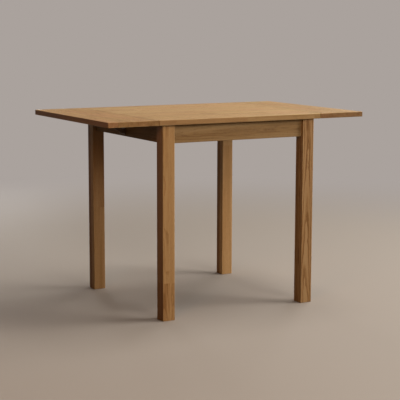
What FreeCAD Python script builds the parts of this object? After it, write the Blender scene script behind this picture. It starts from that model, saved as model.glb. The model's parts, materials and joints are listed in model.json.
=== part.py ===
import FreeCAD, Part
import math
import os
from FreeCAD import Vector

# Drop-leaf dining table: a fixed middle top on four square legs, with a hinged leaf at each end.
# Millimetres, +Z up, origin on the floor under the middle, +X towards the right leaf, front towards -Y.
# Pieces that repeat are drawn once, at the right and at the back, and mirrored to their other places.

# Top
table_height = 760.0
table_depth = 700.0
centre_length = 715.0
leaf_width = 205.0
top_thickness = 20.0
leaf_gap = 0.8
top_corner_round = 2.5
top_edge_chamfer = 1.2

# Legs
leg_size = 50.0
leg_edge_round = 2.0
foot_chamfer = 1.5
end_overhang = 21.5
side_overhang = 14.0
leg_bolt_flat = 10.0

# Aprons
apron_height = 70.0
apron_thickness = 20.0
apron_setback = 13.0
apron_edge_round = 1.5
tenon_length = 12.0
tenon_thickness = 8.0
tenon_shoulder = 10.0
glue_line = 0.1

# Corner blocks and hanger bolts
block_thickness = 22.0
block_height = 50.0
block_drop = 8.0
block_leg_space = 4.0
bolt_radius = 4.0
bolt_in_leg = 30.0
bolt_past_nut = 4.0
bolt_end_chamfer = 1.0
bolt_point = 6.0
bolt_leg_play = 0.1
bolt_block_play = 0.5
washer_radius = 9.0
washer_thickness = 1.6
nut_across_flats = 13.0
nut_height = 6.5
nut_play = 0.1

# Wooden buttons that hold the top down
button_length = 34.0
button_width = 30.0
button_thickness = 18.0
button_edge_chamfer = 1.5
button_tongue = 8.0
button_tongue_height = 7.0
button_tongue_drop = 9.0
button_tongue_play = 0.5
button_end_play = 2.0
button_wall_gap = 0.5
button_hole_radius = 2.2
button_place_share = 0.5

# Countersunk screw holes in the steel plates
hole_mouth_radius = 3.6
hole_radius = 1.9

# Back-flap hinges, two to a leaf
hinge_length = 60.0
hinge_leg_space = 41.0
flap_width = 30.0
flap_thickness = 2.0
flap_corner_round = 4.0
flap_hole_inset = 12.0
knuckle_radius = 3.5
knuckle_count = 3
knuckle_gap = 0.3
hinge_pin_radius = 1.6
pin_play = 0.05

# Folding stay in the middle of each leaf: bracket on the apron, arm, and slotted plate on the leaf
leaf_drop = math.radians(90.0)
stay_ratio = 1.25
stay_plate_thickness = 3.0
stay_plate_width = 32.0
stay_corner_round = 4.0
bracket_height = 50.0
bracket_drop = 14.0
bracket_hole_inset = 9.0
pivot_out = 17.0
pivot_drop = 45.0
ear_radius = 10.0
arm_thickness = 4.0
arm_half_width = 8.0
arm_side_gap = 0.4
tip_reach = 42.0
tip_drop = 7.5
stud_radius = 2.5
stud_head_radius = 4.5
stud_head_height = 1.5
slot_play = 0.3
slot_wall = 3.5
slot_steps = 5
slot_slope_step = math.radians(0.1)
leaf_plate_hole_inset = 14.0

# How far cutting tools run past the faces that they cut
overrun = 5.0

# How nearly an edge has to follow a direction to count as running along it
straight_share = 0.999

# Places that follow from the sizes above
underside_z = table_height - top_thickness
half_depth = table_depth / 2
leg_outer_x = centre_length / 2 - end_overhang
leg_outer_y = half_depth - side_overhang
leg_inner_x = leg_outer_x - leg_size
leg_inner_y = leg_outer_y - leg_size
apron_outer_x = leg_outer_x - apron_setback
apron_outer_y = leg_outer_y - apron_setback
apron_inner_x = apron_outer_x - apron_thickness
apron_inner_y = apron_outer_y - apron_thickness
apron_bottom_z = underside_z - apron_height
bolt_z = underside_z - block_drop - block_height / 2
hinge_x = centre_length / 2 + leaf_gap / 2
hinge_y = leg_inner_y - hinge_leg_space - hinge_length / 2
hinge_z = underside_z - knuckle_radius
leaf_inner_x = centre_length / 2 + leaf_gap
leaf_outer_x = leaf_inner_x + leaf_width

# The stay lies in layers along Y: bracket, arm, leaf plate
bracket_y = arm_thickness / 2 + arm_side_gap
leaf_plate_y = -arm_thickness / 2 - arm_side_gap

# The stay's pivot and tip, measured from the hinge pin
pivot_x = apron_outer_x + pivot_out - hinge_x
pivot_z = -pivot_drop
arm_length = math.hypot(tip_reach - pivot_x, -tip_drop - pivot_z)
arm_rise = math.atan2(-tip_drop - pivot_z, tip_reach - pivot_x)

ALONG = Vector(1, 0, 0)
ACROSS = Vector(0, 1, 0)
UP = Vector(0, 0, 1)
DOWN = Vector(0, 0, -1)
OUTWARD = Vector(1, 1, 0).normalize()
CORNERS = [("front_left", -1, -1), ("front_right", 1, -1), ("back_left", -1, 1), ("back_right", 1, 1)]
SIDES = [("left", -1), ("right", 1)]


# Shapes and places

def box(low_x, high_x, low_y, high_y, low_z, high_z):
    """A block between two corners."""
    return Part.makeBox(high_x - low_x, high_y - low_y, high_z - low_z, Vector(low_x, low_y, low_z))


def polygon(points):
    """Straight edges round a closed outline."""
    return [Part.makeLine(start, end) for start, end in zip(points, points[1:] + points[:1])]


def prism(outline, push):
    """A solid from a closed outline of edges, pushed along a vector."""
    return Part.Face(Part.Wire(outline)).extrude(push)


def turned(profile):
    """A solid turned about the Z axis from radius and height pairs."""
    outline = polygon([Vector(radius, 0, height) for radius, height in profile])
    return Part.Face(Part.Wire(outline)).revolve(Vector(), UP, 360)


def rod(radius, length, start, direction):
    """A round rod from a point along a direction."""
    return Part.makeCylinder(radius, length, start, direction)


def aimed(shape, place, direction):
    """Turn a shape made along +Z to another direction and move it to its place."""
    moved = shape.copy()
    moved.Placement = FreeCAD.Placement(place, FreeCAD.Rotation(UP, direction))
    return moved


def mirrored(shape, side_x, side_y):
    """Mirror a shape made at the right and at the back to another quarter."""
    if side_x < 0:
        shape = shape.mirror(Vector(), ALONG)
    if side_y < 0:
        shape = shape.mirror(Vector(), ACROSS)
    return shape


def in_quarters(shapes):
    """The shapes of the right back quarter, in all four quarters."""
    return [mirrored(shape, side_x, side_y) for _, side_x, side_y in CORNERS for shape in shapes]


def front_and_back(shapes):
    """The shapes of the right back quarter, at the front and at the back."""
    return [mirrored(shape, 1, side_y) for shape in shapes for side_y in (-1, 1)]


def left_and_right(shapes):
    """The shapes of the right side, on both sides."""
    return [mirrored(shape, side_x, 1) for _, side_x in SIDES for shape in shapes]


def edges_along(shape, direction):
    """Straight edges that run along a direction."""
    found = []
    for edge in shape.Edges:
        run = (edge.Vertexes[-1].Point - edge.Vertexes[0].Point).normalize()
        if abs(run.dot(direction)) > straight_share:
            found.append(edge)
    return found


def countersunk_holes(mouths, thickness, direction):
    """Screw holes through a plate, from their wide mouths inwards."""
    return [Part.makeCone(hole_mouth_radius, hole_radius, thickness, mouth, direction) for mouth in mouths]


# Top and leaves

def panel(low_x, high_x):
    """A flat panel of the top with softened edges."""
    slab = box(low_x, high_x, -half_depth, half_depth, underside_z, table_height)
    slab = slab.makeFillet(top_corner_round, edges_along(slab, UP))
    level = [edge for edge in slab.Edges if edge.BoundBox.ZLength < top_edge_chamfer]
    return slab.makeChamfer(top_edge_chamfer, level)


# Legs and aprons

def tenon_span(play=0):
    """Bottom and top of a tenon, or of its mortise when there is play round it."""
    return apron_bottom_z + tenon_shoulder - play, underside_z - tenon_shoulder + play


def tenon_cheeks(inner, outer, play=0):
    """Inner and outer face of a tenon in the middle of an apron's thickness."""
    inset = (apron_thickness - tenon_thickness) / 2 - play
    return inner + inset, outer - inset


def leg():
    """A square leg with eased arrises, two mortises and a flat for its hanger bolt."""
    post = box(leg_inner_x, leg_outer_x, leg_inner_y, leg_outer_y, 0, underside_z)
    post = post.makeFillet(leg_edge_round, edges_along(post, UP))
    foot = [edge for edge in post.Edges if edge.BoundBox.ZMax < foot_chamfer]
    post = post.makeChamfer(foot_chamfer, foot)
    depth = tenon_length + glue_line
    span = tenon_span(glue_line)
    side_cheeks = tenon_cheeks(apron_inner_y, apron_outer_y, glue_line)
    end_cheeks = tenon_cheeks(apron_inner_x, apron_outer_x, glue_line)
    side_mortise = box(leg_inner_x - overrun, leg_inner_x + depth, *side_cheeks, *span)
    end_mortise = box(*end_cheeks, leg_inner_y - overrun, leg_inner_y + depth, *span)
    corner = Vector(leg_inner_x, leg_inner_y, apron_bottom_z)
    waste = polygon([
        corner + ALONG * leg_bolt_flat,
        corner + ACROSS * leg_bolt_flat,
        corner + ACROSS * leg_bolt_flat - ALONG * overrun,
        corner - ACROSS * overrun - ALONG * overrun,
        corner + ALONG * leg_bolt_flat - ACROSS * overrun,
    ])
    bolt_flat = prism(waste, UP * (apron_height + overrun))
    hole = rod(bolt_radius + bolt_leg_play, bolt_in_leg + bolt_leg_play, bolt_mouth(), OUTWARD)
    return post.cut([side_mortise, end_mortise, bolt_flat, hole])


def button_places():
    """Where the buttons meet the back apron and the right apron, and the way they face."""
    back = Vector(button_place_share * leg_inner_x, apron_inner_y, underside_z)
    right = Vector(apron_inner_x, button_place_share * leg_inner_y, underside_z)
    return [(back, ACROSS), (right, ALONG)]


def button_slots():
    """Slots for the buttons' tongues, one in the back apron and one in the right apron."""
    slots = []
    half = button_width / 2 + button_end_play
    top = underside_z - button_tongue_drop + button_tongue_play
    bottom = underside_z - button_tongue_drop - button_tongue_height - button_tongue_play
    for place, toward in button_places():
        side = Vector(toward.y, toward.x, 0)
        start = place - toward * overrun - side * half
        finish = place + toward * (button_tongue + button_tongue_play) + side * half
        slots.append(box(start.x, finish.x, start.y, finish.y, bottom, top))
    return slots


def eased_below(board, direction):
    """Soften the two lower arrises of an apron."""
    lower = [edge for edge in edges_along(board, direction) if edge.BoundBox.ZMax < underside_z]
    return board.makeFillet(apron_edge_round, lower)


def back_apron():
    """An apron along the table, with a stub tenon at each end."""
    board = box(-leg_inner_x, leg_inner_x, apron_inner_y, apron_outer_y, apron_bottom_z, underside_z)
    reach = leg_inner_x + tenon_length
    tenons = box(-reach, reach, *tenon_cheeks(apron_inner_y, apron_outer_y), *tenon_span())
    slot = button_slots()[0]
    return eased_below(board, ALONG).fuse(tenons).removeSplitter().cut(left_and_right([slot]))


def right_apron():
    """An apron across one end, with a stub tenon at each end."""
    board = box(apron_inner_x, apron_outer_x, -leg_inner_y, leg_inner_y, apron_bottom_z, underside_z)
    reach = leg_inner_y + tenon_length
    tenons = box(*tenon_cheeks(apron_inner_x, apron_outer_x), -reach, reach, *tenon_span())
    slot = button_slots()[1]
    return eased_below(board, ACROSS).fuse(tenons).removeSplitter().cut(front_and_back([slot]))


# Corner blocks, with a hanger bolt along the diagonal of each corner

def bolt_mouth():
    """Middle of the leg's flat, where the hanger bolt enters."""
    return Vector(leg_inner_x + leg_bolt_flat / 2, leg_inner_y + leg_bolt_flat / 2, bolt_z)


def block_reach():
    """Where a block meets the aprons, measured along them from their inner corner."""
    to_leg = (apron_inner_x - leg_inner_x) + (apron_inner_y - leg_inner_y)
    near = to_leg + block_leg_space * math.sqrt(2)
    return near, near + block_thickness * math.sqrt(2)


def block_face():
    """Point on the block's inner face, on the bolt's line."""
    _, far = block_reach()
    return Vector(apron_inner_x - far / 2, apron_inner_y - far / 2, bolt_z)


def corner_block():
    near, far = block_reach()
    corner = Vector(apron_inner_x, apron_inner_y, underside_z - block_drop - block_height)
    outline = polygon([
        corner - ACROSS * near,
        corner - ALONG * near,
        corner - ALONG * far,
        corner - ACROSS * far,
    ])
    start = block_face() - OUTWARD * overrun
    hole = rod(bolt_radius + bolt_block_play, block_thickness + overrun * 2, start, OUTWARD)
    return prism(outline, UP * block_height).cut(hole)


def hanger_bolt():
    """A rod from past the nut, through the block, to its point in the leg."""
    tail = block_face() - OUTWARD * (washer_thickness + nut_height + bolt_past_nut)
    length = (bolt_mouth() - tail).Length + bolt_in_leg
    bolt = turned([
        (0, 0),
        (bolt_radius - bolt_end_chamfer, 0),
        (bolt_radius, bolt_end_chamfer),
        (bolt_radius, length - bolt_point),
        (0, length),
    ])
    return aimed(bolt, tail, OUTWARD)


def hanger_washer():
    place = block_face() - OUTWARD * washer_thickness
    ring = rod(washer_radius, washer_thickness, place, OUTWARD)
    return ring.cut(rod(bolt_radius + bolt_block_play, washer_thickness, place, OUTWARD))


def hanger_nut():
    """A hexagon nut on the washer."""
    corner_radius = nut_across_flats / math.sqrt(3)
    turns = [math.pi / 3 * corner for corner in range(6)]
    hexagon = polygon([Vector(math.cos(turn), math.sin(turn), 0) * corner_radius for turn in turns])
    nut = prism(hexagon, UP * nut_height)
    nut = nut.cut(rod(bolt_radius + nut_play, nut_height, Vector(), UP))
    return aimed(nut, block_face() - OUTWARD * (washer_thickness + nut_height), OUTWARD)


def top_buttons():
    """A button on the back apron and one on the right apron, each with its tongue in a slot."""
    buttons = []
    for place, toward in button_places():
        side = Vector(toward.y, toward.x, 0)
        wall = place - toward * button_wall_gap
        tongue = place + toward * button_tongue
        tail = wall - toward * button_length
        under_tongue = button_tongue_drop + button_tongue_height
        profile = polygon([
            wall,
            wall + DOWN * button_tongue_drop,
            tongue + DOWN * button_tongue_drop,
            tongue + DOWN * under_tongue,
            wall + DOWN * under_tongue,
            wall + DOWN * button_thickness,
            tail + DOWN * button_thickness,
            tail,
        ])
        button = prism(profile, side * button_width)
        button.translate(side * (-button_width / 2))
        back_arrises = [
            edge for edge in edges_along(button, UP)
            if abs((edge.CenterOfMass - tail).dot(toward)) < button_edge_chamfer
        ]
        button = button.makeChamfer(button_edge_chamfer, back_arrises)
        middle = wall - toward * (button_length / 2)
        buttons.append(button.cut(rod(button_hole_radius, button_thickness, middle, DOWN)))
    return buttons


# Back-flap hinges, drawn about the middle of the pin and then moved under the joint

def hinge_flap(side):
    """One flap of a hinge: side -1 lies under the middle top, +1 under the leaf."""
    half = hinge_length / 2
    pitch = hinge_length / knuckle_count
    plate = box(0, flap_width, -half, half, knuckle_radius - flap_thickness, knuckle_radius)
    outer = [edge for edge in edges_along(plate, UP) if edge.CenterOfMass.x > flap_corner_round]
    plate = mirrored(plate.makeFillet(flap_corner_round, outer), side, 1)
    first_own = 0 if side < 0 else 1
    reach = knuckle_radius + knuckle_gap
    for index in range(knuckle_count):
        low = -half + index * pitch
        if index % 2 == first_own:
            start = Vector(0, low + knuckle_gap / 2, 0)
            plate = plate.fuse(rod(knuckle_radius, pitch - knuckle_gap, start, ACROSS))
        else:
            plate = plate.cut(
                box(-reach, reach, low - knuckle_gap / 2, low + pitch + knuckle_gap / 2, -reach, reach)
            )
    bore = rod(hinge_pin_radius + pin_play, hinge_length, Vector(0, -half, 0), ACROSS)
    hole_x = side * (flap_width - flap_hole_inset)
    mouths = [
        Vector(hole_x, end * (half - flap_hole_inset), knuckle_radius - flap_thickness) for end in (-1, 1)
    ]
    plate = plate.removeSplitter().cut([bore] + countersunk_holes(mouths, flap_thickness, UP))
    plate.translate(Vector(hinge_x, hinge_y, hinge_z))
    return plate


def hinge_pin():
    start = Vector(hinge_x, hinge_y - hinge_length / 2, hinge_z)
    return rod(hinge_pin_radius, hinge_length, start, ACROSS)


# Folding stays: the arm's tip follows a curved slot that keeps the arm and the leaf in step

def tip_path(leaf_angle):
    """The arm's tip in the leaf's own axes, when the leaf has dropped by an angle."""
    arm_angle = arm_rise - stay_ratio * leaf_angle
    x = pivot_x + arm_length * math.cos(arm_angle)
    z = pivot_z + arm_length * math.sin(arm_angle)
    along = x * math.cos(leaf_angle) - z * math.sin(leaf_angle)
    away = x * math.sin(leaf_angle) + z * math.cos(leaf_angle)
    return Vector(along, 0, away)


def tip_heading(leaf_angle):
    """Direction in which the tip moves along the slot."""
    ahead = tip_path(leaf_angle + slot_slope_step) - tip_path(leaf_angle - slot_slope_step)
    return ahead.normalize()


def beside_path(leaf_angle, offset):
    """A point at some distance below the tip's path."""
    heading = tip_heading(leaf_angle)
    return tip_path(leaf_angle) + Vector(heading.z, 0, -heading.x) * offset


def curve_beside_path(offset):
    """A smooth curve at some distance below the whole of the tip's path."""
    angles = [leaf_drop * step / slot_steps for step in range(slot_steps + 1)]
    curve = Part.BSplineCurve()
    curve.interpolate([beside_path(angle, offset) for angle in angles])
    return curve.toShape()


def path_end(leaf_angle, radius, outward):
    """A half circle round one end of the tip's path."""
    furthest = tip_path(leaf_angle) + tip_heading(leaf_angle) * (outward * radius)
    return Part.Arc(beside_path(leaf_angle, -radius), furthest, beside_path(leaf_angle, radius)).toShape()


def corner_arc(centre, start, finish):
    """The short arc round a centre from one point to another."""
    radius = (start - centre).Length
    middle = centre + (start + finish - centre * 2).normalize() * radius
    return Part.Arc(start, middle, finish).toShape()


def slot():
    """The cutter for the slot, through the flange of the leaf plate."""
    half_width = stud_radius + slot_play
    outline = [
        curve_beside_path(half_width),
        path_end(leaf_drop, half_width, 1),
        curve_beside_path(-half_width),
        path_end(0, half_width, -1),
    ]
    cutter = prism(outline, -ACROSS * (stay_plate_thickness + overrun * 2))
    cutter.translate(ACROSS * overrun)
    return cutter


def slot_margin():
    """From the middle of the slot to the edge of the flange."""
    return stud_radius + slot_play + slot_wall


def leaf_plate_ends():
    """Near and far ends of the slotted plate, measured along the leaf from the hinge pin."""
    return tip_path(0).x - slot_margin(), tip_path(leaf_drop).x + slot_margin()


def leaf_plate():
    """An angle plate under the leaf, with the curved slot in its flange."""
    near, far = leaf_plate_ends()
    seat = knuckle_radius
    start = tip_path(0)
    finish = tip_path(leaf_drop)
    near_side = Vector(near, 0, start.z)
    far_side = Vector(far, 0, finish.z)
    outline = [
        Part.makeLine(Vector(near, 0, seat), near_side),
        corner_arc(start, near_side, beside_path(0, slot_margin())),
        curve_beside_path(slot_margin()),
        corner_arc(finish, beside_path(leaf_drop, slot_margin()), far_side),
        Part.makeLine(far_side, Vector(far, 0, seat)),
        Part.makeLine(Vector(far, 0, seat), Vector(near, 0, seat)),
    ]
    flange = prism(outline, -ACROSS * stay_plate_thickness)
    base = box(near, far, -stay_plate_width, 0, seat - stay_plate_thickness, seat)
    outer = [edge for edge in edges_along(base, UP) if edge.CenterOfMass.y < -stay_plate_thickness]
    base = base.makeFillet(stay_corner_round, outer)
    hole_y = -(stay_plate_width + stay_plate_thickness) / 2
    mouths = [
        Vector(hole_x, hole_y, seat - stay_plate_thickness)
        for hole_x in (near + leaf_plate_hole_inset, far - leaf_plate_hole_inset)
    ]
    holes = countersunk_holes(mouths, stay_plate_thickness, UP)
    plate = base.fuse(flange).removeSplitter().cut([slot()] + holes)
    plate.translate(Vector(hinge_x, leaf_plate_y, hinge_z))
    return plate


def pivot_at(y):
    """The arm's pivot, some way along Y."""
    return Vector(hinge_x + pivot_x, y, hinge_z + pivot_z)


def tip_at(y):
    """The arm's tip with the leaf level, some way along Y."""
    return Vector(hinge_x + tip_reach, y, hinge_z - tip_drop)


def stay_bracket():
    """An angle plate on the end apron, with an ear that carries the arm."""
    top = underside_z - bracket_drop
    face_x = apron_outer_x + stay_plate_thickness
    base = box(apron_outer_x, face_x, bracket_y, bracket_y + stay_plate_width, top - bracket_height, top)
    outer = [
        edge for edge in edges_along(base, ALONG)
        if edge.CenterOfMass.y > bracket_y + stay_plate_thickness
    ]
    base = base.makeFillet(stay_corner_round, outer)
    pivot = pivot_at(bracket_y)
    upper = pivot + UP * ear_radius
    lower = pivot + DOWN * ear_radius
    back = -ALONG * pivot_out
    outline = [
        Part.makeLine(lower + back, lower),
        Part.Arc(lower, pivot + ALONG * ear_radius, upper).toShape(),
        Part.makeLine(upper, upper + back),
        Part.makeLine(upper + back, lower + back),
    ]
    ear = prism(outline, ACROSS * stay_plate_thickness)
    pivot_hole = rod(stud_radius + pin_play, stay_plate_thickness, pivot, ACROSS)
    hole_y = bracket_y + (stay_plate_width + stay_plate_thickness) / 2
    mouths = [
        Vector(face_x, hole_y, hole_z)
        for hole_z in (top - bracket_hole_inset, top - bracket_height + bracket_hole_inset)
    ]
    screw_holes = countersunk_holes(mouths, stay_plate_thickness, -ALONG)
    return base.fuse(ear).removeSplitter().cut([pivot_hole] + screw_holes)


def stay_arm():
    """A flat steel arm with round ends, from the pivot to the tip."""
    low_y = -arm_thickness / 2
    pivot = pivot_at(low_y)
    tip = tip_at(low_y)
    run = (tip - pivot).normalize() * arm_half_width
    side = Vector(-run.z, 0, run.x)
    outline = [
        Part.makeLine(pivot - side, tip - side),
        Part.Arc(tip - side, tip + run, tip + side).toShape(),
        Part.makeLine(tip + side, pivot + side),
        Part.Arc(pivot + side, pivot - run, pivot - side).toShape(),
    ]
    holes = [rod(stud_radius + pin_play, arm_thickness, end, ACROSS) for end in (pivot, tip)]
    return prism(outline, ACROSS * arm_thickness).cut(holes)


def headed_stud(length):
    """A stud with its plain end at the origin and a head past its other end."""
    return turned([
        (0, 0),
        (stud_radius, 0),
        (stud_radius, length),
        (stud_head_radius, length),
        (stud_head_radius, length + stud_head_height),
        (0, length + stud_head_height),
    ])


def pivot_rivet():
    """The rivet that hangs the arm on the bracket's ear, flush with the arm."""
    length = arm_thickness + arm_side_gap + stay_plate_thickness
    return aimed(headed_stud(length), pivot_at(-arm_thickness / 2), ACROSS)


def tip_stud():
    """The stud at the arm's tip, which runs in the leaf plate's slot."""
    length = arm_thickness + arm_side_gap * 2 + stay_plate_thickness
    return aimed(headed_stud(length), tip_at(arm_thickness / 2), -ACROSS)


def save(name, shapes):
    """Write one node, a single solid or a group of like solids."""
    shape = shapes[0] if len(shapes) == 1 else Part.makeCompound(shapes)
    shape.exportStep(os.path.join("parts", name + ".step"))


os.makedirs("parts", exist_ok=True)

# Boards that lie across the middle
save("centre_top", [panel(-centre_length / 2, centre_length / 2)])
save("back_apron", [back_apron()])
save("front_apron", [mirrored(back_apron(), 1, -1)])

# One of each at every corner
corner_pieces = {
    "leg": leg(),
    "corner_block": corner_block(),
    "hinge_fixed_flap": hinge_flap(-1),
    "hinge_leaf_flap": hinge_flap(1),
    "hinge_pin": hinge_pin(),
}
for corner_name, corner_x, corner_y in CORNERS:
    for piece_name, piece in corner_pieces.items():
        save(piece_name + "_" + corner_name, [mirrored(piece, corner_x, corner_y)])

# One of each on both sides
side_pieces = {
    "leaf": panel(leaf_inner_x, leaf_outer_x),
    "apron": right_apron(),
    "stay_bracket": stay_bracket(),
    "stay_arm": stay_arm(),
    "stay_tip_stud": tip_stud(),
    "stay_leaf_plate": leaf_plate(),
}
for side_name, leaf_side in SIDES:
    for piece_name, piece in side_pieces.items():
        save(side_name + "_" + piece_name, [mirrored(piece, leaf_side, 1)])

# Fasteners of the fixed frame, as groups of like solids
save("hanger_bolts", in_quarters([hanger_bolt()]))
save("hanger_washers", in_quarters([hanger_washer()]))
save("hanger_nuts", in_quarters([hanger_nut()]))
save("top_buttons", in_quarters(top_buttons()))
save("stay_pivot_rivets", left_and_right([pivot_rivet()]))
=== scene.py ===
import json
import math

import bmesh
import bpy
from mathutils import Matrix, Vector


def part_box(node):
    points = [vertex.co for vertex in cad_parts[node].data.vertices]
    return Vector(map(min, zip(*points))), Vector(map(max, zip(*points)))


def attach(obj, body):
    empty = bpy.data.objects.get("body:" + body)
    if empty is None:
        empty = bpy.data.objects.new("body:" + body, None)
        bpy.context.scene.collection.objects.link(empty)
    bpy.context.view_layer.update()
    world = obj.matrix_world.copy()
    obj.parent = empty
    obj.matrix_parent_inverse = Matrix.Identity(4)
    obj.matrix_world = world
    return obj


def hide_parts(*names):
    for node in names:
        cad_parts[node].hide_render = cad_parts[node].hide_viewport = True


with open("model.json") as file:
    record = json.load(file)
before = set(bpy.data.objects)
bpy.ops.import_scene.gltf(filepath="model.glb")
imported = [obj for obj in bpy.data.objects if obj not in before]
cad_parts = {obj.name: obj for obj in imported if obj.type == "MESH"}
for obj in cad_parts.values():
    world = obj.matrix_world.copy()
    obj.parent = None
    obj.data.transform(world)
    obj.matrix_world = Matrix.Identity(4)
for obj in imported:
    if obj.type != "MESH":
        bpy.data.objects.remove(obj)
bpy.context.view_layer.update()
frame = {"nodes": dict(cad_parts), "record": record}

# Metres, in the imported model's frame: +X towards the right leaf, front towards -Y, +Z up.

AXES = "xyz"
UP = (0, 0, 1)
SIDES = ["left", "right"]
CORNERS = ["front_left", "front_right", "back_left", "back_right"]
SIGN = {"left": -1, "right": 1, "front": -1, "back": 1}

# Camera, as the photograph was taken, with its sensor in millimetres
camera_place = Vector((-2.375, -4.2376, 1.1274))
camera_yaw = math.radians(29.38)
camera_dip = math.radians(8.58)
camera_roll = 0.0024
image_width = 400
focal_pixels = 1201.5
sensor_width = 36.0

# Floor and backdrop
floor_reach = 14.0
floor_sides = 64
floor_colour = (0.348, 0.2975, 0.2495, 1)
floor_unseen_colour = (0.150, 0.120, 0.095, 1)
floor_shade = (0.30, 0.28, 0.26, 1)
floor_shade_share = 0.12
floor_detail = 3
floor_roughness = 0.75
floor_shine = 0.2
fade_from = 1.5
fade_to = 3.8
backdrop_colour = (0.402, 0.361, 0.337, 1)

# Lights: where they aim, and the place, width, watts and colour of each
aim_place = Vector((0.0, 0.0, 0.55))
lights = {
    "key": {"place": (6.6, -4.2, 3.4), "size": 4.2, "power": 500.0, "colour": (1.0, 0.985, 0.965)},
    "overhead": {"place": (1.8, -0.2, 4.1), "size": 2.6, "power": 124.0, "colour": (1.0, 0.98, 0.95)},
    "front": {"place": (0.4, -5.4, 2.7), "size": 2.0, "power": 110.0, "colour": (1.0, 0.985, 0.955)},
    "side": {"place": (-2.3, -2.2, 1.9), "size": 1.0, "power": 16.0, "colour": (1.0, 0.54, 0.25)},
    "back": {"place": (6.0, 4.2, 3.6), "size": 2.6, "power": 112.0, "colour": (1.0, 0.97, 0.94)},
    "rear": {"place": (1.0, 5.6, 0.6), "size": 1.0, "power": 62.0, "colour": (1.0, 0.97, 0.94)},
}
sky_colour = (1.0, 0.72, 0.48, 1)
sky_strength = 0.014

# Rounding of the edges of boards, blocks and steel plates
board_edge = 0.0006
block_edge = 0.0004
plate_edge = 0.00035
edge_steps = 3
edge_profile = 0.5
flat_angle = math.radians(0.5)
sharp_angle = math.radians(28)
smooth_angle = math.radians(40)
face_weight = 100
weld = 0.000002

# Flat-headed screws, and where their holes lie in the steel plates
screw_head = 0.0034
screw_shank = 0.0017
screw_length = 0.014
screw_point = 0.004
screw_sink = 0.0002
recess_length = 0.0040
recess_width = 0.0009
recess_depth = 0.0013
flap_thickness = 0.002
flap_hole_inset = 0.012
plate_thickness = 0.003
bracket_hole_inset = 0.009
leaf_plate_hole_inset = 0.014

# Round-headed screws, and the wooden buttons that they hold
round_head = 0.0041
round_rise = 0.0026
round_shank = 0.0019
round_length = 0.028
round_dome_shares = ((0.40, 0.94), (0.72, 0.70), (0.93, 0.34), (1.0, 0.06))
slot_overrun = 0.002
button_length = 0.034
button_wall_gap = 0.0005
button_place_share = 0.5

# Hanger bolts, nuts and washers
bolt_radius = 0.004
bolt_length = 0.0752
bolt_pitch = 0.00125
bolt_thread = 0.00062
bolt_threaded = 0.024
bolt_point = 0.006
bolt_past_nut = 0.004
rings_per_turn = 8
nut_flats = 0.013
nut_height = 0.0065
nut_bore = 0.0041
nut_mouth = 0.0005
nut_shoulder_share = 0.97
nut_chamfer = math.radians(30)
washer_thickness = 0.0016

# Rivets and studs of the stays
rivet_radius = 0.0025
rivet_head = 0.0045
rivet_rise = 0.0015
rivet_chamfer = 0.0004
rivet_dome_shares = ((0.92, 0.52), (0.70, 0.82), (0.38, 0.96))

# Points round a turned form, a rivet and a nut
turned_steps = 32
rivet_steps = 40
nut_steps = 48

# Wood: colours from dark to light, and the tones that change them
oak_colours = {
    "dark": (0.285, 0.144, 0.045, 1),
    "middle": (0.450, 0.266, 0.103, 1),
    "light": (0.535, 0.345, 0.154, 1),
}
beech_colours = {
    "dark": (0.330, 0.200, 0.100, 1),
    "middle": (0.470, 0.315, 0.175, 1),
    "light": (0.560, 0.405, 0.250, 1),
}
pink_tone = (1.04, 0.88, 0.98, 1)
pore_tone = (0.42, 0.33, 0.26, 1)
brown_end_tone = (0.485, 0.42, 0.36, 1)
pink_end_tone = (0.53, 0.415, 0.405, 1)
glue_tone = (0.55, 0.46, 0.40, 1)
# The colour of the lighter arrises: partly rubbed wear, partly a painted highlight
worn_and_highlight_colour = (0.64, 0.43, 0.22, 1)

# Grain: waves to a metre along and across it, and the detail of each wave
streak_grain = (2.2, 55.0, 3)
fibre_grain = (14.0, 700.0, 2)
vessel_grain = (60.0, 2400.0, 1)
bend_grain = (3.0, 9.0, 2)
ripple_grain = (14.0, 45.0, 2)
rub_and_highlight_grain = (9.0, 40.0, 3)
grain_roughness = 0.55

# Steady random numbers that set the staves, layers and blocks apart
block_jump = 9.0
layer_jump = 17.0
stave_column = 0.5
look_seed = 7
pith_seed = 13

# Growth rings: where their middle may lie beside and behind a stave, its slope, and their form
pith_limits = ((-0.035, 0.035), (0.02, 0.07), (-0.025, 0.025))
ripple_share = 0.35
ring_wander = 0.016
early_rise = 0.12
early_end = 0.7

# How strongly each mark in the wood shows, and from where to where it fades
streak_share = 1.5
fibre_share = 0.5
ring_lift_share = 0.35
lean_from = 0.25
pore_limits = (0.56, 0.66)
late_pore_share = 0.25
pore_share = 0.8
end_limits = (0.55, 0.85)
glue_limits = (0.00012, 0.0005)
glue_share = 0.7
# Lighter arrises: partly rubbed wear, partly a painted highlight along the edges
rub_and_highlight_limits = (0.0006, 0.0024)
rub_and_highlight_share = 0.4
rub_and_highlight_spread = (0.35, 0.65)

# Gloss and relief of the wood
wood_roughness = 0.44
streak_roughness = 0.2
pore_roughness = 0.2
end_roughness = 0.15
fibre_height_share = 0.35
glue_depth_share = 0.8
wood_relief = 0.00022
wood_relief_share = 0.7

# Metal: mottling, brush marks, and edges rubbed bare
mottle_detail = 4
mottle_limits = (0.35, 0.7)
mottle_roughness = 0.3
brush_rates = (5200.0, 260.0, 5200.0)
brush_detail = 2
brush_roughness = 0.12
brush_height_share = 0.3
bare_limits = (0.3, 0.6)
bare_shares = (0.2, 0.7)
metal_noise_roughness = 0.6
metal_relief = 0.00004
metal_relief_share = 0.5


# Node trees

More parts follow.
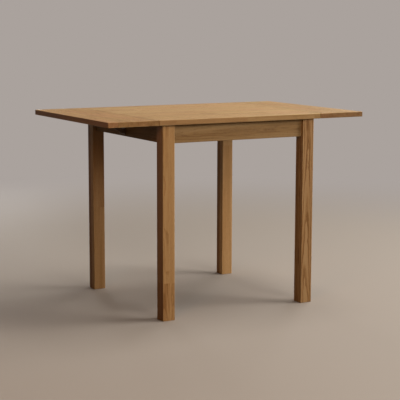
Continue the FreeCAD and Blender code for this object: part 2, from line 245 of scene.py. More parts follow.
class Tree:
    """The node tree of a material or of the world, with short calls for the nodes that they share."""

    def __init__(self, owner):
        self.owner = owner
        self.owner.use_nodes = True
        self.nodes = self.owner.node_tree.nodes
        self.links = self.owner.node_tree.links
        self.output = next(node for node in self.nodes if "Surface" in node.inputs)
        self.shader = self.output.inputs["Surface"].links[0].from_node

    def put(self, socket, value):
        """Link a socket, or set a constant on it."""
        if isinstance(value, bpy.types.NodeSocket):
            self.links.new(value, socket)
        else:
            socket.default_value = value

    def set(self, name, value):
        """Set one input of the shader."""
        self.put(self.shader.inputs[name], value)

    def math(self, operation, first, second=0.0, third=0.0):
        node = self.nodes.new("ShaderNodeMath")
        node.operation = operation
        for socket, value in zip(node.inputs, (first, second, third)):
            self.put(socket, value)
        return node.outputs[0]

    def centred(self, value):
        """A value from zero to one, moved to lie about zero."""
        return self.math("SUBTRACT", value, 0.5)

    def between(self, share, limits):
        """The value that lies a share of the way from one limit to the other."""
        return self.math("MULTIPLY_ADD", share, limits[1] - limits[0], limits[0])

    def vector(self, x, y, z):
        node = self.nodes.new("ShaderNodeCombineXYZ")
        for socket, value in zip(node.inputs, (x, y, z)):
            self.put(socket, value)
        return node.outputs[0]

    def parts(self, vector):
        node = self.nodes.new("ShaderNodeSeparateXYZ")
        self.put(node.inputs[0], vector)
        return node.outputs[0], node.outputs[1], node.outputs[2]

    def noise(self, vector, detail, roughness=0.5):
        node = self.nodes.new("ShaderNodeTexNoise")
        self.put(node.inputs["Vector"], vector)
        node.inputs["Scale"].default_value = 1.0
        node.inputs["Detail"].default_value = detail
        node.inputs["Roughness"].default_value = roughness
        return node.outputs["Fac"]

    def chance(self, x, y, z):
        """Three steady random numbers for each whole-number cell."""
        node = self.nodes.new("ShaderNodeTexWhiteNoise")
        node.noise_dimensions = "3D"
        self.put(node.inputs["Vector"], self.vector(x, y, z))
        return self.parts(node.outputs["Color"])

    def span(self, value, low, high, to_low=0.0, to_high=1.0, smooth=True):
        """Map a value from one range to another, with its ends held."""
        node = self.nodes.new("ShaderNodeMapRange")
        node.interpolation_type = "SMOOTHSTEP" if smooth else "LINEAR"
        for socket, number in zip(node.inputs, (value, low, high, to_low, to_high)):
            self.put(socket, number)
        return node.outputs[0]

    def mix(self, share, first, second, blend="MIX"):
        node = self.nodes.new("ShaderNodeMix")
        node.data_type = "RGBA"
        node.blend_type = blend
        self.put(node.inputs[0], share)
        self.put(node.inputs[6], first)
        self.put(node.inputs[7], second)
        return node.outputs[2]

    def tint(self, share, colour, tone):
        """Multiply a colour by a tone, by the share given."""
        return self.mix(share, colour, tone, "MULTIPLY")

    def place(self):
        return self.nodes.new("ShaderNodeTexCoord").outputs["Object"]

    def facing(self):
        return self.nodes.new("ShaderNodeTexCoord").outputs["Normal"]

    def edge(self):
        """One on the rounded edges of a piece, zero on its faces."""
        node = self.nodes.new("ShaderNodeAttribute")
        node.attribute_name = "edge"
        return node.outputs["Fac"]

    def turned(self, first, second, turn):
        """Two axes turned about the third."""
        cosine = math.cos(turn)
        sine = math.sin(turn)
        one = self.math("MULTIPLY_ADD", first, cosine, self.math("MULTIPLY", second, sine))
        two = self.math("MULTIPLY_ADD", second, cosine, self.math("MULTIPLY", first, -sine))
        return one, two

    def bump(self, height, distance, strength):
        node = self.nodes.new("ShaderNodeBump")
        self.put(node.inputs["Height"], height)
        node.inputs["Distance"].default_value = distance
        node.inputs["Strength"].default_value = strength
        self.set("Normal", node.outputs[0])

    def seen(self):
        """One where the camera looks, straight, in a reflection or through glass, zero for other light."""
        path = self.nodes.new("ShaderNodeLightPath")
        seen = self.math("MAXIMUM", path.outputs["Is Camera Ray"], path.outputs["Is Glossy Ray"])
        return self.math("MAXIMUM", seen, path.outputs["Is Transmission Ray"])

    def show_backdrop(self, screen_type, share):
        """Show the plain backdrop, by the share given, to the camera and to reflections."""
        screen = self.nodes.new(screen_type)
        screen.inputs["Color"].default_value = backdrop_colour
        blend = self.nodes.new("ShaderNodeMixShader")
        self.put(blend.inputs[0], self.math("MULTIPLY", self.seen(), share))
        self.put(blend.inputs[1], self.shader.outputs[0])
        self.put(blend.inputs[2], screen.outputs[0])
        self.put(self.output.inputs["Surface"], blend.outputs[0])


# Wood

class Board(Tree):
    """The material of a board, drawn along, across and through its staves."""

    def __init__(self, name, node, order, turn):
        super().__init__(bpy.data.materials.new(name))
        self.low, self.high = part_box(node)
        self.axes = self.parts(self.place())
        place = dict(zip(AXES, self.axes))
        normal = dict(zip(AXES, self.parts(self.facing())))
        if turn:
            place["x"], place["y"] = self.turned(place["x"], place["y"], turn)
            normal["x"], normal["y"] = self.turned(normal["x"], normal["y"], turn)
        start = dict(zip(AXES, self.low))
        self.along, self.across, self.through = (place[axis] for axis in order)
        self.from_side = self.math("SUBTRACT", self.across, start[order[1]])
        self.from_back = self.math("SUBTRACT", self.through, start[order[2]])
        self.end_facing = self.math("ABSOLUTE", normal[order[0]])

    def from_joint(self, run, width):
        """How far the nearest joint is, in a row of pieces that are one unit of the run each."""
        return self.math("MULTIPLY", self.math("PINGPONG", run, 0.5), width)

    def glue_up(self, seed, stave, layer, block, joint):
        """Part the board into staves, layers and blocks, and draw each one's look."""
        self.stave_run = self.math("DIVIDE", self.from_side, stave)
        self.row = self.math("FLOOR", self.stave_run)
        self.column = 0.0
        cell = self.row
        gaps = [self.from_joint(self.stave_run, stave)]
        if layer:
            layer_run = self.math("DIVIDE", self.from_back, layer)
            cell = self.math("MULTIPLY_ADD", self.math("FLOOR", layer_run), layer_jump, self.row)
            gaps.append(self.from_joint(layer_run, layer))
        if joint:
            self.column = self.math("GREATER_THAN", self.along, joint[0])
            gaps.append(self.math("ABSOLUTE", self.math("SUBTRACT", self.along, joint[0])))
        elif block:
            shift, stretch, _ = self.chance(cell, stave_column, seed)
            length = self.between(stretch, block)
            block_run = self.math("DIVIDE", self.math("MULTIPLY_ADD", shift, block[1], self.along), length)
            self.column = self.math("FLOOR", block_run)
            gaps.append(self.from_joint(block_run, length))
        self.from_glue = gaps[0]
        for gap in gaps[1:]:
            self.from_glue = self.math("MINIMUM", self.from_glue, gap)
        self.shade, self.warmth, twist = self.chance(cell, self.column, seed + look_seed)
        self.pith_draws = self.chance(cell, self.column, seed + pith_seed)
        self.jump = self.math("MULTIPLY", twist, block_jump)

    def grain(self, rate_along, rate_across, detail):
        """Noise drawn out along the staves, which differs from block to block."""
        spot = self.vector(
            self.math("MULTIPLY_ADD", self.along, rate_along, self.jump),
            self.math("MULTIPLY_ADD", self.across, rate_across, self.jump),
            self.math("MULTIPLY_ADD", self.through, rate_across, self.jump),
        )
        return self.noise(spot, detail, grain_roughness)

    def early_wood(self, stave, pith, ring_rate):
        """The dark part of each growth ring, about a pith that lies beside the stave."""
        if pith is None:
            pith = [self.between(draw, limits) for draw, limits in zip(self.pith_draws, pith_limits)]
        beside, behind, slope = pith
        middle = self.centred(self.math("FRACT", self.stave_run))
        ring_x = self.math("MULTIPLY_ADD", middle, stave, beside)
        ring_y = self.math("ADD", self.from_back, behind)
        square = self.math("MULTIPLY_ADD", ring_x, ring_x, self.math("MULTIPLY", ring_y, ring_y))
        radius = self.math("MULTIPLY_ADD", self.along, slope, self.math("SQRT", square))
        sway = self.math("MULTIPLY_ADD", self.grain(*ripple_grain), ripple_share, self.grain(*bend_grain))
        radius = self.math("MULTIPLY_ADD", sway, ring_wander, radius)
        ring = self.math("FRACT", self.math("MULTIPLY", radius, ring_rate))
        rise = self.span(ring, 0.0, early_rise)
        fall = self.span(ring, early_rise, early_end, 1.0, 0.0)
        return self.math("MULTIPLY", rise, fall)

    def rubbed_and_highlit_edges(self):
        """Where the board's arrises are made lighter, in places: partly rubbed wear, partly a painted
        highlight.
        """
        gaps = []
        for axis, low, high in zip(self.axes, self.low, self.high):
            from_low = self.math("SUBTRACT", axis, low)
            gaps.append(self.math("MINIMUM", from_low, self.math("SUBTRACT", high, axis)))
        lesser = self.math("MINIMUM", gaps[0], gaps[1])
        greater = self.math("MAXIMUM", gaps[0], gaps[1])
        from_edge = self.math("MAXIMUM", lesser, self.math("MINIMUM", greater, gaps[2]))
        near_edge = self.span(from_edge, *rub_and_highlight_limits, rub_and_highlight_share, 0.0)
        return self.math("MULTIPLY", near_edge, self.span(self.grain(*rub_and_highlight_grain), *rub_and_highlight_spread))


def wood(
    name, node, order, seed, stave, layer=None, block=None, joint=None, pith=None, lean=0.0,
    tone=1.0, hue=(1.0, 1.0, 1.0), contrast=0.4, blush=0.5, rings=0.2, ring_rate=280.0, end_share=1.0,
    shine=0.4, turn=0.0, colours=oak_colours,
):
    """Oiled wood glued up from staves.

    order names the axes along, across and through the staves, and turn turns them about Z. stave and
    layer are the staves' width and thickness, block the shortest and longest piece in a stave, and joint
    a butt joint's place and how much darker the wood is below it. pith is where the rings have their
    middle and how they slope, ring_rate the rings to a metre, and rings how dark their early part is.
    lean is how much paler each stave is than the last, contrast how far the blocks differ, and blush how
    pink some of them are. end_share is how far the end grain darkens, and tone and hue change the whole.
    """
    board = Board(name, node, order, turn)
    board.glue_up(seed, stave, layer, block, joint)
    streaks = board.centred(board.grain(*streak_grain))
    fibres = board.centred(board.grain(*fibre_grain))
    early = board.early_wood(stave, pith, ring_rate)

    # Lightness, and the colour that goes with it
    value = board.math("MULTIPLY_ADD", streaks, streak_share, 0.5 + rings * ring_lift_share)
    value = board.math("MULTIPLY_ADD", fibres, fibre_share, value)
    value = board.math("MULTIPLY_ADD", early, -rings, value)
    value = board.math("MULTIPLY_ADD", board.centred(board.shade), contrast, value)
    if joint:
        value = board.math("MULTIPLY_ADD", board.math("SUBTRACT", board.column, 1.0), joint[1], value)
    if lean:
        value = board.math("MULTIPLY_ADD", board.math("SUBTRACT", board.row, lean_from), lean, value)
    colour = board.mix(board.span(value, 0.0, 0.5, smooth=False), colours["dark"], colours["middle"])
    colour = board.mix(board.span(value, 0.5, 1.0, smooth=False), colour, colours["light"])
    colour = board.tint(board.math("MULTIPLY", board.warmth, blush), colour, pink_tone)

    # Open pores, closest in the early wood
    pores = board.span(board.grain(*vessel_grain), *pore_limits)
    pores = board.math("MULTIPLY", pores, board.between(early, (late_pore_share, 1.0)))
    colour = board.tint(board.math("MULTIPLY", pores, pore_share), colour, pore_tone)

    # End grain, which drinks more oil, the glue lines, and the lighter arrises, which are partly wear and
    # partly a painted highlight
    ends = board.span(board.end_facing, *end_limits)
    end_tone = board.mix(board.shade, brown_end_tone, pink_end_tone)
    colour = board.tint(board.math("MULTIPLY", ends, end_share), colour, end_tone)
    glue = board.span(board.from_glue, *glue_limits, 1.0, 0.0)
    colour = board.tint(board.math("MULTIPLY", glue, glue_share), colour, glue_tone)
    colour = board.mix(board.rubbed_and_highlit_edges(), colour, worn_and_highlight_colour)
    colour = board.tint(1.0, colour, (*(tone * part for part in hue), 1))
    board.set("Base Color", colour)

    # Gloss and relief
    rough = board.math("MULTIPLY_ADD", streaks, streak_roughness, wood_roughness)
    rough = board.math("MULTIPLY_ADD", pores, pore_roughness, rough)
    board.set("Roughness", board.math("MULTIPLY_ADD", ends, end_roughness, rough))
    board.set("Specular IOR Level", shine)
    height = board.math("MULTIPLY_ADD", pores, -1.0, board.math("MULTIPLY", fibres, fibre_height_share))
    height = board.math("MULTIPLY_ADD", glue, -glue_depth_share, height)
    board.bump(height, wood_relief, wood_relief_share)
    return board.owner


# Metals

def metal(name, colour, dull_colour, bare_colour, metallic, roughness, mottle):
    """Plated or lacquered steel: mottled, finely brushed, and rubbed bare along its edges."""
    tree = Tree(bpy.data.materials.new(name))
    axes = tree.parts(tree.place())
    cloud_place = tree.vector(*[tree.math("MULTIPLY", axis, mottle) for axis in axes])
    clouds = tree.noise(cloud_place, mottle_detail, metal_noise_roughness)
    brush_place = tree.vector(*[tree.math("MULTIPLY", axis, rate) for axis, rate in zip(axes, brush_rates)])
    brushed = tree.noise(brush_place, brush_detail, metal_noise_roughness)
    shade = tree.mix(tree.span(clouds, *mottle_limits), colour, dull_colour)
    bare = tree.math("MULTIPLY", tree.edge(), tree.span(clouds, *bare_limits, *bare_shares))
    tree.set("Base Color", tree.mix(bare, shade, bare_colour))
    rough = tree.math("MULTIPLY_ADD", tree.centred(clouds), mottle_roughness, roughness)
    tree.set("Roughness", tree.math("MULTIPLY_ADD", tree.centred(brushed), brush_roughness, rough))
    tree.set("Metallic", metallic)
    height = tree.math("MULTIPLY_ADD", brushed, brush_height_share, clouds)
    tree.bump(height, metal_relief, metal_relief_share)
    return tree.owner


bronzed = metal(
    "bronzed_steel",
    colour=(0.040, 0.033, 0.027, 1),
    dull_colour=(0.062, 0.048, 0.036, 1),
    bare_colour=(0.20, 0.15, 0.10, 1),
    metallic=0.75,
    roughness=0.42,
    mottle=160.0,
)
brown = metal(
    "brown_steel",
    colour=(0.120, 0.072, 0.037, 1),
    dull_colour=(0.140, 0.086, 0.047, 1),
    bare_colour=(0.22, 0.15, 0.09, 1),
    metallic=0.1,
    roughness=0.50,
    mottle=140.0,
)
bright = metal(
    "bright_steel",
    colour=(0.36, 0.35, 0.34, 1),
    dull_colour=(0.26, 0.25, 0.24, 1),
    bare_colour=(0.50, 0.49, 0.48, 1),
    metallic=1.0,
    roughness=0.34,
    mottle=220.0,
)
zinc = metal(
    "zinc_plate",
    colour=(0.52, 0.53, 0.55, 1),
    dull_colour=(0.40, 0.41, 0.43, 1),
    bare_colour=(0.60, 0.61, 0.63, 1),
    metallic=1.0,
    roughness=0.36,
    mottle=180.0,
)
screw_bronze = metal(
    "screw_bronze",
    colour=(0.15, 0.115, 0.080, 1),
    dull_colour=(0.10, 0.078, 0.055, 1),
    bare_colour=(0.34, 0.28, 0.20, 1),
    metallic=1.0,
    roughness=0.38,
    mottle=240.0,
)


# Pieces

def body_of(node):
    """The body that carries a node."""
    for body, nodes in frame["record"]["behaviour"]["bodies"].items():
        if node in nodes:
            return body


def add_piece(name, form, body, material, nodes=()):
    """Put a finished form in the scene, on its body, in place of its nodes."""
    mesh = bpy.data.meshes.new(name)
    form.to_mesh(mesh)
    form.free()
    for face in mesh.polygons:
        face.use_smooth = True
    mesh.set_sharp_from_angle(angle=smooth_angle)
    mesh.materials.append(material)
    piece = bpy.data.objects.new(name, mesh)
    bpy.context.collection.objects.link(piece)
    normals = piece.modifiers.new("flat_faces", "WEIGHTED_NORMAL")
    normals.weight = face_weight
    normals.keep_sharp = True
    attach(piece, body)
    if nodes:
        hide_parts(*nodes)


def finish_node(node, form, material):
    """Put a finished form in the scene in place of one node."""
    add_piece(node + "_finish", form, body_of(node), material, [node])


def soften(node, width, material):
    """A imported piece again, with its hard edges rounded over."""
    form = bmesh.new()
    form.from_mesh(frame["nodes"][node].data)
    bmesh.ops.remove_doubles(form, verts=form.verts, dist=weld)
    bmesh.ops.dissolve_limit(form, angle_limit=flat_angle, verts=form.verts, edges=form.edges)
    mark = form.faces.layers.float.new("edge")
    shared = [edge for edge in form.edges if len(edge.link_faces) == 2]
    rounded = bmesh.ops.bevel(
        form,
        geom=[edge for edge in shared if edge.calc_face_angle() > sharp_angle],
        offset=width,
        segments=edge_steps,
        profile=edge_profile,
        affect="EDGES",
        clamp_overlap=True,
    )
    for face in rounded["faces"]:
        face[mark] = 1.0
    finish_node(node, form, material)


def join_rings(form, rings):
    """Faces between neighbouring rings of points."""
    steps = len(rings[0])
    for lower, upper in zip(rings, rings[1:]):
        for step in range(steps):
            after = (step + 1) % steps
            loop = [lower[step], lower[after], upper[after], upper[step]]
            corners = list(dict.fromkeys(loop))
            if len(corners) > 2:
                form.faces.new(corners)
    bmesh.ops.recalc_face_normals(form, faces=form.faces)


def ring_of(form, radii, heights):
    """One ring of points about the Z axis, with a radius and a height for each."""
    turns = [math.tau * step / len(radii) for step in range(len(radii))]
    return [
        form.verts.new((radius * math.cos(turn), radius * math.sin(turn), height))
        for turn, radius, height in zip(turns, radii, heights)
    ]


def round_ring(form, radius, height, steps):
    """One round, level ring of points, or a single point on the axis."""
    if radius == 0:
        return [form.verts.new((0, 0, height))] * steps
    return ring_of(form, [radius] * steps, [height] * steps)


def lathe(profile, steps=turned_steps):
    """A closed form turned about the Z axis, from radius and height pairs that start and end on it."""
    form = bmesh.new()
    join_rings(form, [round_ring(form, radius, height, steps) for radius, height in profile])
    return form


def cut(form, boxes):
    """Cut boxes, given by middle and size, out of a form."""
    mesh = bpy.data.meshes.new("cut")
    form.to_mesh(mesh)
    form.free()
    whole = bpy.data.objects.new("cut", mesh)
    bpy.context.collection.objects.link(whole)
    helpers = [whole]
    for middle, size in boxes:
        tool = bmesh.new()
        shape = Matrix.Translation(middle) @ Matrix.Diagonal((*size, 1))
        bmesh.ops.create_cube(tool, size=1.0, matrix=shape)
        tool_mesh = bpy.data.meshes.new("tool")
        tool.to_mesh(tool_mesh)
        tool.free()
        helper = bpy.data.objects.new("tool", tool_mesh)
        bpy.context.collection.objects.link(helper)
        helpers.append(helper)
        step = whole.modifiers.new("cut", "BOOLEAN")
        step.operation = "DIFFERENCE"
        step.object = helper
        step.solver = "EXACT"
    view = bpy.context.evaluated_depsgraph_get()
    result = bmesh.new()
    result.from_mesh(bpy.data.meshes.new_from_object(whole.evaluated_get(view)))
    for helper in helpers:
        bpy.data.objects.remove(helper)
    return result


def gathered(form, places):
    """One form, copied to each place, with its Z axis along each direction."""
    group = bmesh.new()
    pattern = bpy.data.meshes.new("pattern")
    form.to_mesh(pattern)
    for place, direction in places:
        first = len(group.verts)
        group.from_mesh(pattern)
        group.verts.ensure_lookup_table()
        turn = Vector(UP).rotation_difference(Vector(direction)).to_matrix().to_4x4()
        bmesh.ops.transform(group, matrix=Matrix.Translation(place) @ turn, verts=group.verts[first:])
    return group


def flat_screw(depth):
    """A countersunk wood screw with a cross recess, its head in a plate of the given thickness."""
    form = lathe([
        (0, screw_sink),
        (screw_head - 2 * screw_sink, screw_sink),
        (screw_head, 2 * screw_sink),
        (screw_shank, depth + screw_sink),
        (screw_shank, screw_length - screw_point),
        (screw_sink, screw_length),
        (0, screw_length),
    ])
    long_cut = (recess_length, recess_width, 2 * recess_depth)
    wide_cut = (recess_width, recess_length, 2 * recess_depth)
    return cut(form, [((0, 0, 0), long_cut), ((0, 0, 0), wide_cut)])


def round_screw():
    """A round-headed wood screw with a slot, its head below the face that it holds."""
    dome = [(out * round_head, -rise * round_rise) for out, rise in round_dome_shares]
    form = lathe([
        (0, -round_rise),
        *dome,
        (round_head - screw_sink, 0),
        (round_shank, 0),
        (round_shank, round_length - screw_point),
        (screw_sink, round_length),
        (0, round_length),
    ])
    slot = (2 * round_head + slot_overrun, recess_width, 2 * recess_depth)
    return cut(form, [((0, 0, -round_rise), slot)])


def threaded_bolt(steps=turned_steps):
    """A hanger bolt: machine thread at its near end, a plain shank, and a point in the leg."""
    form = bmesh.new()
    core = bolt_radius - bolt_thread
    rings = [round_ring(form, 0, 0, steps), round_ring(form, core - bolt_thread, 0, steps)]
    count = round(bolt_threaded / bolt_pitch * rings_per_turn)
    for index in range(1, count + 1):
        height = bolt_threaded * index / count
        radii = []
        for step in range(steps):
            phase = (height / bolt_pitch - step / steps) % 1
            radii.append(core + bolt_thread * (1 - abs(2 * phase - 1)))
        rings.append(ring_of(form, radii, [height] * steps))
    for radius, height in (
        (bolt_radius, bolt_threaded + bolt_pitch),
        (bolt_radius, bolt_length - bolt_point),
        (screw_sink, bolt_length),
        (0, bolt_length),
    ):
        rings.append(round_ring(form, radius, height, steps))
    join_rings(form, rings)
    return form


def hex_nut(steps=nut_steps):
    """A six-sided nut, its corners chamfered at both ends, with a bore for the bolt."""
    form = bmesh.new()
    flat = nut_flats / 2
    sixth = math.tau / 6
    radii = []
    for step in range(steps):
        turn = (math.tau * step / steps + sixth / 2) % sixth - sixth / 2
        radii.append(flat / math.cos(turn))
    shoulder = nut_shoulder_share * flat
    mouth = nut_bore + nut_mouth
    drops = [(radius - shoulder) * math.tan(nut_chamfer) for radius in radii]
    rings = [
        round_ring(form, nut_bore, nut_mouth, steps),
        round_ring(form, mouth, 0, steps),
        round_ring(form, shoulder, 0, steps),
        ring_of(form, radii, drops),
        ring_of(form, radii, [nut_height - drop for drop in drops]),
        round_ring(form, shoulder, nut_height, steps),
        round_ring(form, mouth, nut_height, steps),
        round_ring(form, nut_bore, nut_height - nut_mouth, steps),
    ]
    join_rings(form, rings + rings[:1])
    return form


def rivet(length):
    """A rivet with a domed head beyond its length."""
    dome = [(out * rivet_head, length + rise * rivet_rise) for out, rise in rivet_dome_shares]
    return lathe([
        (0, 0),
        (rivet_radius - rivet_chamfer, 0),
        (rivet_radius, rivet_chamfer),
        (rivet_radius, length),
        (rivet_head - rivet_chamfer / 2, length),
        (rivet_head, length + rivet_chamfer / 2),
        *dome,
        (0, length + rivet_rise),
    ], rivet_steps)


# Boards, with the grain that the photograph shows
top_look = {"shine": 0.1, "blush": 0.75}
leaf_look = {**top_look, "order": "yxz", "stave": 0.041, "block": (0.28, 0.60)}
# The aprons' low tone is partly the wood's own darker colour and partly painted shade, from the top over the
# front and back aprons and the leaves over the end aprons
apron_painted_shade_look = {"shine": 0.1, "blush": 0.3, "stave": 0.08, "rings": 0.16, "tone": 0.55}
long_apron_look = {**apron_painted_shade_look, "order": "xzy"}
end_apron_look = {**apron_painted_shade_look, "order": "yzx", "shine": 0.03}
leg_look = {"shine": 0.1, "blush": 0.2, "stave": 0.025, "contrast": 0.2}
back_leg_look = {**leg_look, "order": "zyx", "block": (0.45, 0.95)}
looks = {
    "centre_top": {
        **top_look, "order": "xyz", "stave": 0.0437, "block": (0.30, 0.75), "contrast": 0.2,
        "hue": (0.945, 1.02, 1.02),
    },
    "left_leaf": {**leaf_look, "contrast": 0.35, "tone": 0.9, "hue": (0.98, 1.005, 0.95), "end_share": 0.75},
    "right_leaf": {**leaf_look, "contrast": 0.15, "tone": 0.92, "hue": (0.95, 1.03, 1.02)},
    "front_apron": long_apron_look,
    "back_apron": long_apron_look,
    "left_apron": end_apron_look,
    "right_apron": end_apron_look,
    "leg_front_left": {
        **leg_look, "order": "zxy", "layer": 0.025, "joint": (0.145, 0.2),
        "lean": 0.2, "rings": 0.3, "tone": 1.08,
    },
    "leg_front_right": {
        **leg_look, "order": "zyx", "pith": (-0.012, -0.022, 0.020), "ring_rate": 170.0,
        "lean": -0.3, "rings": 0.85, "tone": 0.9,
    },
    # The back right leg's high tone is painted light, lighter where the top shades its front; the back legs'
    # strong lean, which darkens their back staves, is partly the staves' own difference and partly painted
    # shade on their left faces
    "leg_back_left": {**back_leg_look, "lean": -0.8, "rings": 0.3, "tone": 0.85},
    "leg_back_right": {**back_leg_look, "lean": -1.0, "rings": 0.4, "tone": 1.28},
}
first_seed = 3
seed_step = 10
for index, (node, look) in enumerate(looks.items()):
    soften(node, board_edge, wood("oak_" + node, node, seed=first_seed + seed_step * index, **look))

# Corner blocks and buttons, each of one piece of wood
beech_look = {"order": "xyz", "rings": 0.1, "colours": beech_colours}
block_look = {**beech_look, "seed": 181, "stave": 0.5}
button_look = {**beech_look, "seed": 191, "stave": 0.9}
block_turn = math.radians(45)
for corner in CORNERS:
    end, side = corner.split("_")
    node = "corner_block_" + corner
    turn = -SIGN[end] * SIGN[side] * block_turn
    soften(node, block_edge, wood("beech_" + node, node, turn=turn, **block_look))
soften("top_buttons", block_edge, wood("beech_top_buttons", "top_buttons", **button_look))

# Hinges and stays
for corner in CORNERS:
    soften("hinge_fixed_flap_" + corner, plate_edge, bronzed)
    soften("hinge_leaf_flap_" + corner, plate_edge, bronzed)
    soften("hinge_pin_" + corner, plate_edge, bright)
for side in SIDES:
    soften(side + "_stay_bracket", plate_edge, brown)
    soften(side + "_stay_leaf_plate", plate_edge, brown)
    soften(side + "_stay_arm", plate_edge, brown)
soften("hanger_washers", plate_edge, zinc)


# Screws of the hinge flaps and of the stays

def reach(node):
    """How far from the middle of the table a node starts and ends, along X."""
    low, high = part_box(node)
    return sorted((abs(low.x), abs(high.x)))


def flap_places(node, hole_x):
    """The two screws of a hinge flap, in line with its pin."""
    low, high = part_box(node)
    ends = (low.y + flap_hole_inset, high.y - flap_hole_inset)
    return [((hole_x, hole_y, high.z - flap_thickness), UP) for hole_y in ends]


def leaf_plate_places(side):
    """The two screws of a stay's plate, beside its upright web."""
    node = side + "_stay_leaf_plate"
    low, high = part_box(node)
    near, far = reach(node)
    hole_y = (low.y + high.y - plate_thickness) / 2
    ends = (near + leaf_plate_hole_inset, far - leaf_plate_hole_inset)
    return [((SIGN[side] * hole_x, hole_y, high.z - plate_thickness), UP) for hole_x in ends]


def bracket_places(side):
    """The two screws of a stay's bracket, which point into the apron."""
    node = side + "_stay_bracket"
    low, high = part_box(node)
    face_x = SIGN[side] * (reach(node)[0] + plate_thickness)
    hole_y = (low.y + high.y + plate_thickness) / 2
    inward = (-SIGN[side], 0, 0)
    ends = (low.z + bracket_hole_inset, high.z - bracket_hole_inset)
    return [((face_x, hole_y, hole_z), inward) for hole_z in ends]


fixed_places = []
leaf_places = {side: [] for side in SIDES}
for corner in CORNERS:
    side = corner.split("_")[1]
    fixed_flap = "hinge_fixed_flap_" + corner
    leaf_flap = "hinge_leaf_flap_" + corner
    fixed_places += flap_places(fixed_flap, SIGN[side] * (reach(fixed_flap)[0] + flap_hole_inset))
    leaf_places[side] += flap_places(leaf_flap, SIGN[side] * (reach(leaf_flap)[1] - flap_hole_inset))
flap_screw = flat_screw(flap_thickness)
plate_screw = flat_screw(plate_thickness)
screw_sets = [("fixed_flap_screws", flap_screw, fixed_places, "frame")]
for side in SIDES:
    leaf = side + "_leaf"
    screw_sets.append((side + "_leaf_flap_screws", flap_screw, leaf_places[side], leaf))
    screw_sets.append((side + "_leaf_plate_screws", plate_screw, leaf_plate_places(side), leaf))
    screw_sets.append((side + "_bracket_screws", plate_screw, bracket_places(side), "frame"))
for name, screw, places, body in screw_sets:
    add_piece(name, gathered(screw, places), body, screw_bronze)

# Screws of the wooden buttons
inset = button_wall_gap + button_length / 2
long_x = button_place_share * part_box("leg_back_right")[0].x
long_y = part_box("back_apron")[0].y - inset
end_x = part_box("right_apron")[0].x - inset
end_y = button_place_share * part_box("leg_back_right")[0].y
button_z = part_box("top_buttons")[0].z
places = []
for sign_x in (-1, 1):
    for sign_y in (-1, 1):
        places.append(((sign_x * long_x, sign_y * long_y, button_z), UP))
        places.append(((sign_x * end_x, sign_y * end_y, button_z), UP))
add_piece("button_screws", gathered(round_screw(), places), "frame", zinc)

# Hanger bolts and their nuts, on the diagonal of each corner
bolt_places = []
nut_places = []
for corner in CORNERS:
    end, side = corner.split("_")
    low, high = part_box("corner_block_" + corner)
    face = (low + high) / 2
    outward = Vector((SIGN[side], SIGN[end], 0)).normalized()
    nut_start = washer_thickness + nut_height
    nut_places.append((face - outward * nut_start, outward))
    bolt_places.append((face - outward * (nut_start + bolt_past_nut), outward))
finish_node("hanger_bolts", gathered(threaded_bolt(), bolt_places), zinc)
finish_node("hanger_nuts", gathered(hex_nut(), nut_places), zinc)

# Rivets and studs of the stays
low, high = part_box("stay_pivot_rivets")
pivot_x = high.x - rivet_head
pivot_z = (low.z + high.z) / 2
places = [((SIGN[side] * pivot_x, low.y, pivot_z), (0, 1, 0)) for side in SIDES]
finish_node("stay_pivot_rivets", gathered(rivet(high.y - low.y - rivet_rise), places), brown)
for side in SIDES:
    node = side + "_stay_tip_stud"
    low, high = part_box(node)
    middle = (low + high) / 2
    places = [((middle.x, high.y, middle.z), (0, -1, 0))]
    finish_node(node, gathered(rivet(high.y - low.y - rivet_rise), places), brown)


# Plain floor that fades into the backdrop

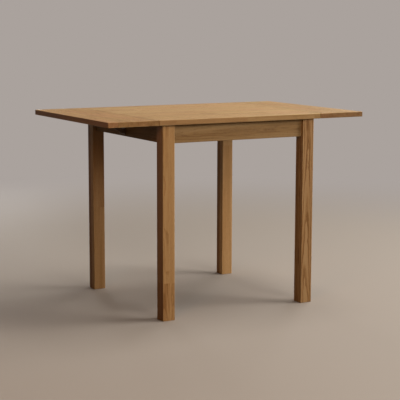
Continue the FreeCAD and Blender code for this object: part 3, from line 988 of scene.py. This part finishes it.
floor_tree = Tree(bpy.data.materials.new("floor_plain"))
cloud = floor_tree.noise(floor_tree.place(), floor_detail)
cloud_share = floor_tree.math("MULTIPLY", cloud, floor_shade_share)
floor_seen = floor_tree.mix(cloud_share, floor_colour, floor_shade)
floor_tree.set("Base Color", floor_tree.mix(floor_tree.seen(), floor_unseen_colour, floor_seen))
floor_tree.set("Roughness", floor_roughness)
floor_tree.set("Specular IOR Level", floor_shine)
from_x, from_y, _ = floor_tree.parts(floor_tree.place())
square = floor_tree.math("MULTIPLY_ADD", from_x, from_x, floor_tree.math("MULTIPLY", from_y, from_y))
fade = floor_tree.span(floor_tree.math("SQRT", square), fade_from, fade_to)
floor_tree.show_backdrop("ShaderNodeEmission", fade)

floor_form = bmesh.new()
bmesh.ops.create_circle(floor_form, cap_ends=True, segments=floor_sides, radius=floor_reach)
floor_mesh = bpy.data.meshes.new("floor")
floor_form.to_mesh(floor_mesh)
floor_form.free()
floor_mesh.materials.append(floor_tree.owner)
floor = bpy.data.objects.new("floor", floor_mesh)
bpy.context.collection.objects.link(floor)


# Soft light

def soft_light(name, place, size, power, colour):
    """A square soft box aimed at the table."""
    lamp = bpy.data.lights.new(name, "AREA")
    lamp.shape = "SQUARE"
    lamp.size = size
    lamp.energy = power
    lamp.color = colour
    thing = bpy.data.objects.new(name, lamp)
    thing.location = place
    thing.rotation_euler = (aim_place - Vector(place)).to_track_quat("-Z", "Y").to_euler()
    bpy.context.collection.objects.link(thing)


for name, light in lights.items():
    soft_light(name, **light)

world_tree = Tree(bpy.data.worlds.new("sky"))
world_tree.set("Color", sky_colour)
world_tree.set("Strength", sky_strength)
world_tree.show_backdrop("ShaderNodeBackground", 1.0)
bpy.context.scene.world = world_tree.owner
bpy.context.scene.view_settings.view_transform = "Standard"

# Camera
ahead = Vector((
    math.sin(camera_yaw) * math.cos(camera_dip),
    math.cos(camera_yaw) * math.cos(camera_dip),
    -math.sin(camera_dip),
))
level = Vector((math.cos(camera_yaw), -math.sin(camera_yaw), 0))
rise = level.cross(ahead)
rightward = level * math.cos(camera_roll) + rise * math.sin(camera_roll)
upward = rise * math.cos(camera_roll) - level * math.sin(camera_roll)
outlook = Matrix((rightward, upward, -ahead)).transposed().to_4x4()
lens = bpy.data.cameras.new("camera")
lens.sensor_width = sensor_width
lens.lens = focal_pixels / image_width * sensor_width
camera = bpy.data.objects.new("camera", lens)
camera.matrix_world = Matrix.Translation(camera_place) @ outlook
bpy.context.collection.objects.link(camera)
bpy.context.scene.camera = camera
